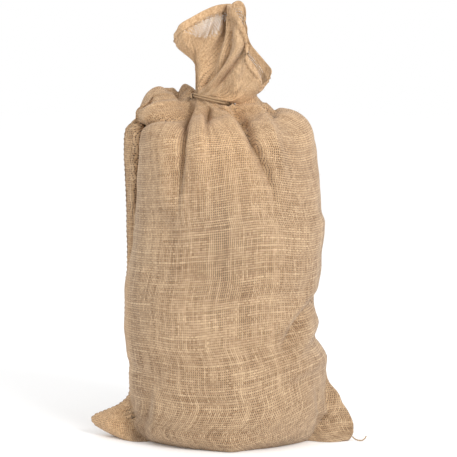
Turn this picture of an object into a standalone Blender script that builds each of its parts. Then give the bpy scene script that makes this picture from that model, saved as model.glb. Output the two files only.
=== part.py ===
"""A filled hessian sack, tied at the neck with twine, standing on its flat base.

One closed solid is the whole sack: the filled body with its two bottom corners and its side seam,
the gathered neck, and the thin open ruffle of the mouth above the tie. The twine tie and the tail
of the seam thread are solids of their own. Tables are in millimetres, and the model is in metres.
"""

import math

import bmesh
import bpy
import numpy as np

MM = 0.001

# The flat sack is 500 mm wide and 1000 mm deep. Filled and tied it stands about 770 mm tall.
CLOTH_WALL = 2.4        # thickness of the open ruffle's wall
FLAP_TIP = 2.2          # half the thickness of a flattened edge: two layers and their seam
FLAP_ROOT = 62.0        # how far in from its tip a flattened edge still counts
COLUMNS = 88            # points around the girth

# The neck under the tie is a flattened bundle, leaning to the right.
NECK_X = -22.0
NECK_Y = 3.0
NECK_Z = 598.0
NECK_HALF_WIDTH = 33.0
NECK_HALF_DEPTH = 24.0
NECK_LEAN = math.radians(12.5)
GROOVE_HALF = 4.8       # half the height of the pinched band that holds the tie
PLEATS = 11             # gathers around the neck
PLEAT_DEPTH = 1.5

TWINE_RADIUS = 1.7
TWINE_GAP = 0.5         # between the twine and the gathers, and between its turns
TIE_POINTS = 62

# Level cuts through the filled body: reach to the left, right, front and back, and how square
# the cut is, from 1 for a diamond to 2 for an ellipse.
SECTIONS = (
    # z, left, right, front, back, square
    (0, -152, 156, 114, 84, 1.40),
    (10, -159, 162, 123, 102, 1.62),
    (25, -164, 169, 127, 116, 1.80),
    (58, -167, 178, 132, 127, 2.00),
    (100, -170, 176, 133, 131, 2.08),
    (142, -174, 179, 133, 133, 2.10),
    (163, -175, 170, 133, 133, 2.10),
    (184, -176, 155, 132, 133, 2.10),
    (205, -178, 158, 131, 133, 2.10),
    (247, -178, 157, 131, 133, 2.10),
    (289, -174, 166, 131, 132, 2.10),
    (331, -165, 169, 131, 131, 2.10),
    (383, -158, 175, 131, 130, 2.10),
    (404, -157, 168, 131, 129, 2.10),
    (457, -157, 164, 130, 128, 2.15),
    (488, -156, 159, 128, 126, 2.15),
    (520, -155, 154, 124, 124, 2.15),
    (551, -155, 148, 116, 122, 2.15),
    (580, -155, 140, 106, 118, 2.15),
)

# The flattened edges past the filled body: the two bottom corners and the side seam. The sweep
# is how far back the tip lies, and the slope how fast the edge thickens away from its tip.
FLAPS = (
    # z, left reach, left sweep, right reach, right sweep, slope
    (0, 46, 14, 60, -24, 1.30),
    (6, 56, 18, 61, -25, 1.00),
    (12, 66, 24, 60, -25, 0.80),
    (20, 74, 28, 58, -24, 0.62),
    (30, 76, 30, 53, -20, 0.48),
    (40, 58, 24, 45, -15, 0.42),
    (50, 38, 15, 37, -10, 0.38),
    (62, 18, 8, 28, -5, 0.32),
    (80, 2, 1, 22, -2, 0.30),
    (100, 0, 0, 6, 0, 0.30),
    (125, 0, 0, 0, 0, 0.30),
    (290, 0, 0, 0, 0, 0.30),
    (331, 9, 3, 0, 0, 0.20),
    (383, 17, 4, 0, 0, 0.15),
    (404, 18, 4, 0, 0, 0.15),
    (457, 20, 4, 0, 0, 0.15),
    (520, 24, 4, 0, 0, 0.15),
    (548, 20, 4, 0, 0, 0.15),
    (566, 4, 1, 0, 0, 0.20),
    (580, 0, 0, 0, 0, 0.30),
)

# The shoulders, by direction: 0 is the left, 90 the front, 180 the right and 270 the back.
# The wall ends at one height, swells to a crown at another, and then falls in to the tie.
SHOULDERS = (
    # degrees, wall z, crown z, share of the way in to the neck at the crown
    (0, 566, 611, 0.30),
    (36, 528, 573, 0.34),
    (62, 512, 570, 0.55),
    (90, 500, 566, 0.66),
    (140, 506, 564, 0.50),
    (180, 528, 580, 0.30),
    (225, 530, 583, 0.40),
    (270, 540, 600, 0.42),
    (318, 566, 624, 0.38),
)

# Folds on the front, seen from the front. Each runs through three points.
FRONT_FOLDS = (
    # x0, z0, x1, z1, x2, z2, half width, rise at the top, rise at the foot
    (-62, 598, -76, 545, -80, 430, 11, -20, -5),    # trough left of the centre pleat
    (-26, 594, -32, 572, -29, 544, 8, -12, -2),     # short trough right of the centre pleat
    (10, 582, 46, 534, 82, 400, 12, -24, -5),       # deep trough under the right-hand ridge
    (8, 590, 40, 574, 92, 556, 11, 9, 6),           # ridge from the tie to the right shoulder
    (-66, 586, -112, 570, -156, 548, 8, -12, -16),  # crevice along the top of the left panel
    (-62, 602, -104, 588, -150, 570, 10, 7, 9),     # lip over that crevice
)

# Folds on the shoulders, seen from above.
TOP_FOLDS = (
    # x0, y0, x1, y1, x2, y2, half width, rise at the neck, rise at the far end
    (-66, 20, -68, 22, -70, 24, 10, 16, 16),        # small knuckle of cloth left of the neck
    (28, 14, 52, 20, 76, 26, 10, 22, 16),           # fold standing up right of the neck
    (10, 40, 18, 70, 24, 100, 14, 9, 4),            # pleats running down the back
    (-36, 42, -44, 72, -52, 104, 14, 9, 4),
    (60, 30, 84, 52, 100, 70, 12, -9, -4),          # hollow behind the right-hand fold
)

# The hem of the mouth, once around from the left: where the column starts on the neck, where its
# hem is, its spread and its hold. At spread 0 a column rises before it spreads, and at 3 it bulges
# out at once. The hold is the share of its climb for which it stays as narrow as the neck.
MOUTH = (
    # neck degrees, x, y, z, spread, hold
    (0, -88, 3, 709, 0.0, 0.45),         # tip of the left lobe
    (6, -78, -21, 727, 0.1, 0.44),
    (11, -54, -27, 742, 0.4, 0.4),
    (17, -24, -29, 757, 0.9, 0.3),
    (22, -4, -25, 762, 1.4, 0.2),
    (27, 10, -13, 762, 1.8, 0.12),       # its inner end, behind the centre fold
    (33, 3, -35, 759, 2.1, 0.0),
    (42, 14, -48, 752, 2.0, 0.0),       # centre fold, nearest the front
    (50, 25, -53, 735, 1.9, 0.0),
    (58, 34, -52, 714, 1.8, 0.0),
    (66, 38, -47, 694, 1.9, 0.0),
    (76, 33, -38, 679, 2.3, 0.0),
    (92, 43, -30, 663, 2.8, 0.0),       # right-hand pouch
    (108, 54, -24, 648, 3.0, 0.0),
    (124, 61, -17, 633, 3.0, 0.0),
    (140, 62, -10, 624, 2.9, 0.0),
    (156, 67, 0, 626, 2.6, 0.0),        # nick between the pouch and the right tip
    (172, 79, 8, 645, 2.2, 0.0),        # right tip
    (188, 69, 19, 662, 1.8, 0.0),
    (202, 55, 21, 679, 1.5, 0.0),
    (214, 41, 20, 698, 1.3, 0.0),
    (226, 35, 24, 728, 1.1, 0.0),
    (238, 32, 27, 760, 1.0, 0.0),
    (247, 21, 29, 769, 0.9, 0.0),       # top of the back lobe
    (258, 7, 29, 750, 0.8, 0.0),
    (268, -2, 40, 728, 0.7, 0.0),
    (280, -9, 26, 712, 0.6, 0.0),
    (294, -22, 40, 706, 0.5, 0.1),      # pleats of the back hem
    (308, -36, 27, 703, 0.4, 0.2),
    (322, -51, 39, 706, 0.3, 0.32),
    (336, -66, 26, 710, 0.2, 0.4),
    (350, -82, 17, 712, 0.1, 0.45),
)

# The twine's two turns around the neck. It starts at the left, climbs on to its second turn behind
# the left shoulder, and then crosses over itself to end in a short free end at the left front.
TIE_ROUTE = (
    # degrees around, rise, distance out
    (-8, -1.95, 0.0),
    (20, -1.95, 0.0),
    (290, -1.95, 0.0),
    (345, 1.95, 0.0),
    (380, 1.95, 0.0),
    (632, 1.95, 0.0),
    (668, 1.95, 3.9),
    (700, 1.0, 4.1),
    (722, -1.5, 4.2),
    (740, -5.5, 4.6),
)

# The tail of the seam thread, lying out from the right-hand corner and hooking up.
TAIL_ROUTE = ((222.1, -24.4, 7.0), (226.8, -27.2, 3.0), (233.0, -30.5, 1.7), (239.0, -32.5, 2.2),
              (243.5, -32.5, 5.4), (246.0, -31.0, 9.5))
TAIL_RADIUS = 1.2


def clear_scene():
    for thing in list(bpy.data.objects):
        bpy.data.objects.remove(thing, do_unlink=True)


def material(name, colour, roughness):
    """A plain non-metal Principled material."""
    made = bpy.data.materials.new(name)
    made.use_nodes = True
    shader = made.node_tree.nodes["Principled BSDF"]
    shader.inputs["Base Color"].default_value = (*colour, 1.0)
    shader.inputs["Roughness"].default_value = roughness
    shader.inputs["Metallic"].default_value = 0.0
    return made


def smooth_read(table, key, column):
    """Reads one column of a table at any key, along a curve that doesn't overshoot its rows."""
    rows = np.array(table, dtype=float)
    keys, values = rows[:, 0], rows[:, column]
    slopes = np.diff(values) / np.diff(keys)
    tangent = np.zeros(len(keys))
    same_way = slopes[:-1] * slopes[1:] > 0
    tangent[1:-1] = np.where(same_way, 0.5 * (slopes[:-1] + slopes[1:]), 0.0)
    limit = 2.5 * np.minimum(abs(slopes[:-1]), abs(slopes[1:]))
    tangent[1:-1] = np.clip(tangent[1:-1], -limit, limit)
    tangent[0], tangent[-1] = slopes[0], slopes[-1]
    key = np.clip(key, keys[0], keys[-1])
    low = np.clip(np.searchsorted(keys, key, side="right") - 1, 0, len(keys) - 2)
    span = keys[low + 1] - keys[low]
    t = (key - keys[low]) / span
    return (values[low] * (1 + 2 * t) * (1 - t) ** 2 + tangent[low] * span * t * (1 - t) ** 2
            + values[low + 1] * t * t * (3 - 2 * t) + tangent[low + 1] * span * t * t * (t - 1))


def around_read(table, degrees, column):
    """Reads a table whose rows go once around, so that its end meets its start."""
    wrapped = ([(row[0] - 360, *row[1:]) for row in table[-2:]] + list(table)
               + [(row[0] + 360, *row[1:]) for row in table[:2]])
    return smooth_read(wrapped, np.mod(degrees, 360.0), column)


def even_points(points, count):
    """Reads a polyline at equal steps of its length, ends included."""
    steps = np.linalg.norm(np.diff(points, axis=0), axis=1)
    length = np.concatenate(([0.0], np.cumsum(steps)))
    wanted = np.linspace(0.0, length[-1], count)
    return np.stack([np.interp(wanted, length, points[:, axis]) for axis in range(points.shape[1])],
                    axis=1)


def half_outline(z, side):
    """Half of a level cut, from its left tip to its right tip: side 3 is the front, 4 the back."""
    left, right = smooth_read(SECTIONS, z, 1), smooth_read(SECTIONS, z, 2)
    depth, square = smooth_read(SECTIONS, z, side), smooth_read(SECTIONS, z, 5)
    left_reach, right_reach = smooth_read(FLAPS, z, 1), smooth_read(FLAPS, z, 3)
    turn = np.linspace(0.0, math.pi, 241)
    left_tip, right_tip = left - left_reach, right + right_reach
    x = 0.5 * (left_tip + right_tip) - 0.5 * (right_tip - left_tip) * np.cos(turn)
    across = np.clip(abs(2 * x - left - right) / (right - left), 0.0, 1.0)
    filled = depth * (1 - across ** square) ** (1 / square)
    from_tip = np.minimum(x - left_tip, right_tip - x)
    flap = FLAP_TIP * np.sqrt(np.clip(from_tip / FLAP_TIP, 0.0, 1.0))
    flap += smooth_read(FLAPS, z, 5) * from_tip * np.exp(-(from_tip / FLAP_ROOT) ** 2)
    y = np.maximum(filled, flap)
    y[0] = y[-1] = 0.0
    y *= -1.0 if side == 3 else 1.0
    y += smooth_read(FLAPS, z, 2) * np.clip((left - x) / (left_reach + 1.0), 0.0, 1.0) ** 2
    y += smooth_read(FLAPS, z, 4) * np.clip((x - right) / (right_reach + 1.0), 0.0, 1.0) ** 2
    return even_points(np.stack((x, y), axis=1), COLUMNS // 2 + 1)


def level_outline(z):
    """A level cut once around, from the left tip by the front, the right tip and the back."""
    front = half_outline(z, 3)
    back = half_outline(z, 4)
    return np.concatenate((front[:-1], back[:0:-1]))


def neck_ring(degrees, rise, spread):
    """A ring of the gathered neck: rise is the way up the leaning axis, spread its extra radius."""
    turn = np.radians(degrees)
    gather = PLEAT_DEPTH * (np.cos(PLEATS * turn) - 1.0) + spread
    across = -(NECK_HALF_WIDTH + gather) * np.cos(turn)
    forward = -(NECK_HALF_DEPTH + gather) * np.sin(turn)
    return np.stack((NECK_X + across * math.cos(NECK_LEAN) + rise * math.sin(NECK_LEAN),
                     NECK_Y + forward,
                     NECK_Z - across * math.sin(NECK_LEAN) + rise * math.cos(NECK_LEAN)), axis=1)


def mouth_hem():
    """The hem loop read at even steps of its length, with each step's angle, spread and hold."""
    rows = np.array(MOUTH, dtype=float)
    count = len(rows)
    closed = np.concatenate((rows[-1:], rows, rows[:2]))
    closed[0, 0] -= 360.0
    closed[-2:, 0] += 360.0
    pieces = []
    for i in range(1, count + 1):
        p0, p1, p2, p3 = closed[i - 1:i + 3]
        for t in np.linspace(0.0, 1.0, 12, endpoint=False):
            bend = (2 * p1 + (p2 - p0) * t + (2 * p0 - 5 * p1 + 4 * p2 - p3) * t ** 2
                    + (3 * p1 - p0 - 3 * p2 + p3) * t ** 3) / 2
            pieces.append(bend)
    loop = np.array(pieces + [closed[count + 1]])
    steps = np.linalg.norm(np.diff(loop[:, 1:4], axis=0), axis=1)
    length = np.concatenate(([0.0], np.cumsum(steps)))
    wanted = np.linspace(0.0, length[-1], COLUMNS, endpoint=False)
    return np.stack([np.interp(wanted, length, loop[:, axis]) for axis in range(6)], axis=1)


def body_rings():
    """Rings from the flat base up the filled body to the top of its wall."""
    low = [0, 6, 13, 21, 31, 42, 54, 67, 82, 100]
    high = list(np.linspace(128, 540, 14))
    heights = np.arange(0.0, 590.0, 4.0)
    outlines = np.array([level_outline(z) for z in heights])
    degrees = np.arange(COLUMNS) * 360.0 / COLUMNS
    wall = around_read(SHOULDERS, degrees, 1)
    rings = []
    for level in low + high:
        share = np.clip((level - 100.0) / 440.0, 0.0, 1.0)
        z = level + share * (wall - 540.0)
        x = [np.interp(z[j], heights, outlines[:, j, 0]) for j in range(COLUMNS)]
        y = [np.interp(z[j], heights, outlines[:, j, 1]) for j in range(COLUMNS)]
        rings.append(np.stack((x, y, z), axis=1))
    return rings


def shoulder_rings(wall_ring, neck_degrees):
    """Rings over the shoulders, from the top of the wall in to the foot of the neck."""
    degrees = np.arange(COLUMNS) * 360.0 / COLUMNS
    crown_z = around_read(SHOULDERS, degrees, 2)
    share = around_read(SHOULDERS, degrees, 3)[:, None]
    neck = neck_ring(neck_degrees, -GROOVE_HALF, 0.0)
    crown = wall_ring + (neck - wall_ring) * share
    crown[:, 2] = crown_z
    up = np.array((0.0, 0.0, 1.0))
    inward = (neck - wall_ring) * np.array((1.0, 1.0, 0.0))
    climb = (crown_z - wall_ring[:, 2])[:, None]
    rings = []
    for t in (0.25, 0.5, 0.75, 1.0):
        start = wall_ring + up * climb * 0.55
        end = crown - inward * share * 0.5
        rings.append(bezier(wall_ring, start, end, crown, t))
    for t in (0.25, 0.48, 0.68, 0.85):
        start = crown + inward * (1 - share) * 0.45
        end = neck - inward * 0.06 - up * 7.0
        rings.append(bezier(crown, start, end, neck, t))
    return rings


def bezier(p0, p1, p2, p3, t):
    return (p0 * (1 - t) ** 3 + 3 * p1 * t * (1 - t) ** 2 + 3 * p2 * t * t * (1 - t) + p3 * t ** 3)


def ring_normals(rings):
    """Outward directions of a stack of rings, from the steps along and up it."""
    grid = np.array(rings)
    along = np.roll(grid, -1, axis=1) - np.roll(grid, 1, axis=1)
    upward = np.gradient(grid, axis=0)
    normal = np.cross(along, upward)
    return normal / np.maximum(np.linalg.norm(normal, axis=2, keepdims=True), 1e-9)


def fold_push(table, first, second):
    """How far each fold of a table raises the points whose two seen coordinates are given."""
    push = np.zeros(first.shape)
    for a0, b0, a1, b1, a2, b2, width, rise_start, rise_end in table:
        t = np.linspace(0.0, 1.0, 25)
        line_a = a0 * (1 - t) * (1 - 2 * t) + 4 * a1 * t * (1 - t) + a2 * t * (2 * t - 1)
        line_b = b0 * (1 - t) * (1 - 2 * t) + 4 * b1 * t * (1 - t) + b2 * t * (2 * t - 1)
        gap = np.hypot(first[..., None] - line_a, second[..., None] - line_b)
        nearest = np.argmin(gap, axis=-1)
        rise = rise_start + (rise_end - rise_start) * t[nearest]
        push += rise * np.exp(-(np.min(gap, axis=-1) / width) ** 2)
    return push


def fold_body(rings):
    """Presses the front and shoulder folds into the body's rings."""
    grid = np.array(rings)
    normals = ring_normals(rings)
    front = np.clip(-grid[..., 1] / 30.0, 0.0, 1.0)
    high = np.clip((grid[..., 2] - 552.0) / 20.0, 0.0, 1.0)
    push = (front * fold_push(FRONT_FOLDS, grid[..., 0], grid[..., 2])
            + high * fold_push(TOP_FOLDS, grid[..., 0], grid[..., 1]))
    near_neck = np.hypot((grid[..., 0] - NECK_X) / (NECK_HALF_WIDTH + 5.0),
                         (grid[..., 1] - NECK_Y) / (NECK_HALF_DEPTH + 5.0))
    push *= np.clip((near_neck - 1.0) / 0.35, 0.0, 1.0)
    return list(grid + normals * push[..., None])


def eased(t, start, end):
    """A share from 0 to 1 that sets off and arrives at the slopes given."""
    return (start * t * (1 - t) ** 2 - end * t * t * (1 - t) + t * t * (3 - 2 * t))


def ruffle_rings(hem):
    """Rings of the ruffle's outer face, from just over the tie up to the hem."""
    foot = neck_ring(hem[:, 0], GROOVE_HALF, 0.0)
    across = hem[:, 1:3] - foot[:, :2]
    climb = hem[:, 3] - foot[:, 2]
    spread, hold = hem[:, 4], hem[:, 5]
    rise = np.clip(1.0 - (spread - 1.6) / 1.4, 0.0, 1.0)
    rings = []
    for t in (0.0, 0.05, 0.12, 0.20, 0.29, 0.39, 0.50, 0.61, 0.72, 0.83, 0.92, 1.0):
        ring = foot.copy()
        outward = np.clip((t - hold) / (1.0 - 1.35 * hold), 0.0, 1.0)
        ring[:, :2] += across * eased(outward, spread, 0.3)[:, None]
        ring[:, 2] += climb * eased(t, rise, 2.0 - rise)
        rings.append(ring)
    return rings


def lining_rings(outer):
    """The ruffle's inner face, from the hem back down to the closed throat over the tie."""
    inward = -CLOTH_WALL * ring_normals(outer)
    for _ in range(3):
        inward = 0.5 * inward + 0.25 * (np.roll(inward, 1, axis=1) + np.roll(inward, -1, axis=1))
    inner = list((np.array(outer) + inward)[:3:-1])
    throat = inner[-1]
    middle = throat.mean(axis=0)
    for keep, sink in ((0.72, 3.0), (0.35, 5.0)):
        ring = middle + (throat - middle) * keep
        ring[:, 2] -= sink
        inner.append(ring)
    return inner


def closed_mesh(name, rings):
    """One closed mesh from a stack of rings, with both ends capped."""
    mesh = bpy.data.meshes.new(name)
    shape = bmesh.new()
    stack = [[shape.verts.new(point * MM) for point in ring] for ring in rings]
    count = len(stack[0])
    for lower, upper in zip(stack, stack[1:]):
        for j in range(count):
            k = (j + 1) % count
            shape.faces.new((lower[j], lower[k], upper[k], upper[j]))
    shape.faces.new(stack[0][::-1])
    shape.faces.new(stack[-1])
    bmesh.ops.triangulate(shape, faces=shape.faces[:], quad_method="SHORT_EDGE")
    bmesh.ops.recalc_face_normals(shape, faces=shape.faces[:])
    shape.to_mesh(mesh)
    shape.free()
    mesh.shade_smooth()
    return mesh


def place(name, mesh, look):
    thing = bpy.data.objects.new(name, mesh)
    bpy.context.scene.collection.objects.link(thing)
    thing.data.materials.append(look)
    return thing


def make_sack(look):
    hem = mouth_hem()
    body = body_rings()
    body = fold_body(body + shoulder_rings(body[-1], hem[:, 0]))
    groove = [neck_ring(hem[:, 0], rise, 0.0) for rise in (-GROOVE_HALF, 0.0)]
    ruffle = ruffle_rings(hem)
    return place("sack", closed_mesh("sack", body + groove + ruffle + lining_rings(ruffle)), look)


def twine(name, route, radius, sides, look):
    """A round cord along a route, with flat filled ends."""
    curve = bpy.data.curves.new(name, "CURVE")
    curve.dimensions = "3D"
    curve.bevel_depth = radius * MM
    curve.bevel_resolution = sides
    curve.use_fill_caps = True
    line = curve.splines.new("POLY")
    line.points.add(len(route) - 1)
    for point, at in zip(line.points, route):
        point.co = (*(np.array(at) * MM), 1.0)
    return place(name, curve, look)


def smooth_route(points, step):
    """A smooth curve through a cord's own points, read every step millimetres."""
    points = np.array(points, dtype=float)
    ends = np.concatenate((2 * points[:1] - points[1:2], points, 2 * points[-1:] - points[-2:-1]))
    fine = []
    for p0, p1, p2, p3 in zip(ends, ends[1:], ends[2:], ends[3:]):
        for t in np.linspace(0.0, 1.0, 16, endpoint=False):
            fine.append((2 * p1 + (p2 - p0) * t + (2 * p0 - 5 * p1 + 4 * p2 - p3) * t ** 2
                         + (3 * p1 - p0 - 3 * p2 + p3) * t ** 3) / 2)
    fine = np.array(fine + [points[-1]])
    length = np.linalg.norm(np.diff(fine, axis=0), axis=1).sum()
    return even_points(fine, int(round(length / step)) + 1)


def tie_route():
    """The twine's route around the neck, just clear of the gathers."""
    degrees = np.linspace(TIE_ROUTE[0][0], TIE_ROUTE[-1][0], 360)
    rise = smooth_read(TIE_ROUTE, degrees, 1)
    out = smooth_read(TIE_ROUTE, degrees, 2) + TWINE_RADIUS + TWINE_GAP
    turn = np.radians(degrees)
    across = -(NECK_HALF_WIDTH + out) * np.cos(turn)
    forward = -(NECK_HALF_DEPTH + out) * np.sin(turn)
    points = np.stack((NECK_X + across * math.cos(NECK_LEAN) + rise * math.sin(NECK_LEAN),
                       NECK_Y + forward,
                       NECK_Z - across * math.sin(NECK_LEAN) + rise * math.cos(NECK_LEAN)), axis=1)
    return even_points(points, TIE_POINTS)


def main():
    clear_scene()
    hessian = material("hessian", (0.50, 0.33, 0.19), 0.92)
    jute = material("jute_twine", (0.60, 0.42, 0.25), 0.85)
    make_sack(hessian)
    twine("tie", tie_route(), TWINE_RADIUS, 2, jute)
    twine("seam_tail", smooth_route(TAIL_ROUTE, 3.0), TAIL_RADIUS, 2, jute)


main()
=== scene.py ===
"""The looks of a filled hessian sack: cloth, seams, hem, twine tie, loose threads and the set."""

import math

import bpy
import numpy as np
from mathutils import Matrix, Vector


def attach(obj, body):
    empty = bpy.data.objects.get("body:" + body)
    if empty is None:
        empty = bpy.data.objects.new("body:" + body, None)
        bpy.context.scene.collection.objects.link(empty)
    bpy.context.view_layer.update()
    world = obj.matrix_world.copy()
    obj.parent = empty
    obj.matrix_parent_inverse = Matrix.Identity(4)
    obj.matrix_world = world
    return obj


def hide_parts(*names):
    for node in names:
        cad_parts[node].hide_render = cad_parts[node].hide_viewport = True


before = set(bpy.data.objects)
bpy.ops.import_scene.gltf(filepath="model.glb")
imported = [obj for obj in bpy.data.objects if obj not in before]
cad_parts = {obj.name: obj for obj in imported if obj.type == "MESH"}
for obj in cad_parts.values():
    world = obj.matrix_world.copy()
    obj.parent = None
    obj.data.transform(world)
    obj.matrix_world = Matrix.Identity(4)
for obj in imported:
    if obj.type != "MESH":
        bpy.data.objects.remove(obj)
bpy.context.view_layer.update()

# ---------------------------------------------------------------------------------------------
# The sack's shape. The real piece is a metre-wide length of hessian folded in half, sewn down the
# left side and across the bottom, then filled, gathered at the neck and left open above the tie.
# It is one cloth, laid out here on a grid of columns around the girth and rows up its length.

MM = 0.001  # sizes below are in millimetres, and the scene is in metres
GIRTH = 1000.0  # the flat sack, once around
FRONT_COLUMNS = 196  # columns across the front, from the left tip to the right tip
BACK_COLUMNS = 112
COLUMNS = FRONT_COLUMNS + BACK_COLUMNS
CLOTH = 1.5  # thickness of the cloth
FLAP_TIP = 1.9  # half thickness at the edge of the flat corners and side seam
FLAP_ROOT = 62.0  # how far in from that edge the cloth has swelled into the body

NECK_X = -22.0  # the middle of the tie
NECK_Y = 3.0
NECK_Z = 598.0
NECK_HALF_WIDTH = 33.0
NECK_HALF_DEPTH = 24.0
NECK_LEAN = math.radians(12.5)
GROOVE_HALF = 4.8  # half the height of the groove that the tie sits in
PLEATS = 11
PLEAT_DEPTH = 1.5

# Level cuts of the filled body: how far it reaches each way, and how square its corners are.
FRONT, BACK, SQUARE = 3, 4, 5
SECTIONS = (
    # z, left, right, front, back, square
    (0, -152, 156, 114, 84, 1.40),
    (10, -159, 162, 123, 102, 1.62),
    (25, -164, 169, 127, 116, 1.80),
    (58, -167, 178, 132, 127, 2.00),
    (100, -170, 176, 133, 131, 2.08),
    (142, -174, 179, 133, 133, 2.10),
    (163, -175, 170, 133, 133, 2.10),
    (184, -176, 155, 132, 133, 2.10),
    (205, -178, 158, 131, 133, 2.10),
    (247, -178, 157, 131, 133, 2.10),
    (289, -174, 166, 131, 132, 2.10),
    (331, -165, 169, 131, 131, 2.10),
    (383, -158, 175, 131, 130, 2.10),
    (404, -157, 168, 131, 129, 2.10),
    (457, -157, 164, 130, 128, 2.15),
    (488, -156, 159, 128, 126, 2.15),
    (520, -155, 154, 124, 124, 2.15),
    (551, -155, 148, 116, 122, 2.15),
    (580, -155, 140, 106, 118, 2.15),
)

# The flattened side seam and bottom corners: how far they stand out beyond the filled body.
FLAPS = (
    # z, left reach, left sweep, right reach, right sweep, slope
    (0, 46, 14, 60, -24, 1.30),
    (6, 56, 18, 61, -25, 1.00),
    (12, 66, 24, 60, -25, 0.80),
    (20, 74, 28, 58, -24, 0.62),
    (30, 76, 30, 53, -20, 0.48),
    (40, 58, 24, 45, -15, 0.42),
    (50, 38, 15, 37, -10, 0.38),
    (62, 18, 8, 28, -5, 0.32),
    (80, 2, 1, 22, -2, 0.30),
    (100, 0, 0, 6, 0, 0.30),
    (125, 0, 0, 0, 0, 0.30),
    (290, 0, 0, 0, 0, 0.30),
    (331, 9, 4, 0, 0, 0.20),
    (383, 17, 10, 0, 0, 0.12),
    (404, 18, 12, 0, 0, 0.10),
    (457, 20, 14, 0, 0, 0.08),
    (520, 24, 14, 0, 0, 0.08),
    (548, 20, 10, 0, 0, 0.10),
    (566, 4, 2, 0, 0, 0.20),
    (580, 0, 0, 0, 0, 0.30),
)

# The shoulders, around the sack from the left: the top of the wall and the crown inside it.
SHOULDERS = (
    # degrees, wall z, crown z, share of the way in to the neck at the crown
    (0, 566, 611, 0.30),
    (36, 528, 573, 0.34),
    (62, 512, 570, 0.55),
    (90, 500, 566, 0.66),
    (140, 506, 564, 0.50),
    (180, 528, 580, 0.30),
    (225, 530, 583, 0.40),
    (270, 540, 600, 0.42),
    (318, 566, 624, 0.38),
)

# Folds of the filled body, seen from the front.
FRONT_FOLDS = (
    # half width, sharpness, lean, then x, z and rise at each point along it
    (9, 0.6, 0.5, (-50, 606, -8), (-58, 591, -20), (-63, 577, -28), (-68, 553, -29),
     (-72, 528, -25), (-74, 494, -19), (-79, 452, -12), (-84, 400, 0)),  # left of the pleat
    (18, 0.0, 0.0, (-36, 576, 5), (-42, 540, 9), (-46, 490, 7), (-48, 430, 0)),  # the pleat
    (16, 0.0, 0.0, (-86, 556, 0), (-98, 517, 5), (-104, 467, 4), (-106, 400, 0)),
    (6, 0.5, -0.3, (-24, 600, -10), (-31, 584, -18), (-33, 566, -15), (-33, 545, -8),
     (-34, 520, 0)),
    (13, 0.0, 0.0, (-10, 590, 5), (2, 574, 10), (14, 556, 4)),  # small dome beside it
    (8, 0.6, 0.5, (8, 590, -8), (26, 574, -26), (42, 552, -32), (51, 528, -29), (65, 494, -20),
     (78, 460, -12), (89, 415, 0)),  # long right trough
    (10, 0.1, 0.0, (-7, 602, 6), (22, 594, 14), (50, 580, 13), (70, 558, 11), (82, 528, 9),
     (94, 490, 4), (104, 440, 0)),  # ridge along it
    (6, 0.6, -0.5, (-62, 592, -4), (-76, 580, -12), (-94, 574, -17), (-125, 570, -22),
     (-143, 562, -22), (-157, 551, -16), (-168, 540, -6)),  # under the left lip
    (8, 0.0, 0.0, (-58, 604, 3), (-74, 596, 7), (-99, 591, 9), (-129, 588, 9), (-151, 577, 6)),
    (26, 0.0, 0.0, (-112, 545, 5), (-120, 505, 5), (-126, 440, 0)),  # left panel's swell
    (5, 0.6, 0.4, (-147, 560, -8), (-152, 540, -14), (-156, 504, -14), (-159, 459, -12),
     (-161, 415, -9), (-163, 366, 0)),  # beside the seam
    (6, 0.2, 0.0, (-136, 596, -3), (-107, 600, -7), (-82, 598, -4)),
    (17, 0.0, 0.0, (-160, 578, -6), (-144, 598, -14), (-124, 614, -9), (-106, 622, 0)),
    (5, 0.3, 0.0, (-79, 622, -5), (-76, 610, -9), (-72, 600, -3)),
    (8, 0.4, 0.2, (157, 246, -12), (134, 223, -20), (110, 194, -14), (88, 158, 0)),  # low right
    (11, 0.0, 0.0, (158, 208, 5), (132, 184, 8), (104, 150, 0)),
    (10, 0.0, 0.0, (152, 270, 4), (122, 244, 7), (90, 204, 0)),
    (5, 0.0, 0.0, (-95, 146, 0), (-44, 131, 3), (7, 127, 4), (61, 141, 0)),
    (6, 0.0, 0.0, (70, 130, 0), (109, 153, 5), (148, 190, 3)),
    (9, 0.0, 0.0, (168, 128, -5), (124, 116, -5), (80, 106, 0)),
    (14, 0.0, 0.0, (-78, 101, 0), (-27, 86, -4), (41, 89, 0)),
    (12, 0.1, 0.0, (-166, 136, -5), (-128, 122, -6), (-96, 146, 0)),
    (8, 0.2, 0.0, (-130, 112, 0), (-136, 70, -6), (-146, 26, -6), (-154, 4, -3)),
    (7, 0.0, 0.0, (-122, 100, 0), (-120, 60, 4), (-126, 12, 4)),
    (6, 0.3, 0.0, (-196, 60, 0), (-176, 50, -4), (-152, 34, -6)),
    (8, 0.3, 0.0, (154, 116, 0), (164, 80, -7), (166, 40, -8), (156, 6, -4)),
    (6, 0.0, 0.0, (150, 60, 0), (178, 48, 5), (204, 28, 4)),
    (4, 0.5, 0.0, (166, 3, 0), (194, 12, -9), (220, 23, -8)),  # tucked-under corner
    (14, 0.0, 0.0, (-4, 46, 0), (12, 4, 7)),  # ruck at the foot
    (12, 0.0, 0.0, (-36, 44, 0), (-38, 4, -3)),
    (12, 0.0, 0.0, (56, 40, 0), (54, 4, -3)),
    (5, 0.6, -0.4, (40, 586, -4), (52, 584, -13), (64, 582, -17), (74, 578, -12),
     (84, 572, -4)),  # under the right flap
    (14, 0.0, 0.0, (-60, 380, 0), (-20, 366, -3), (30, 372, 0)),
    (16, 0.0, 0.0, (40, 330, 0), (66, 290, -4), (70, 250, 0)),
    (13, 0.0, 0.0, (-130, 420, 0), (-100, 372, -4), (-86, 340, 0)),
    (12, 0.0, 0.0, (-148, 330, 0), (-120, 300, -3), (-70, 290, 0)),
)

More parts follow.
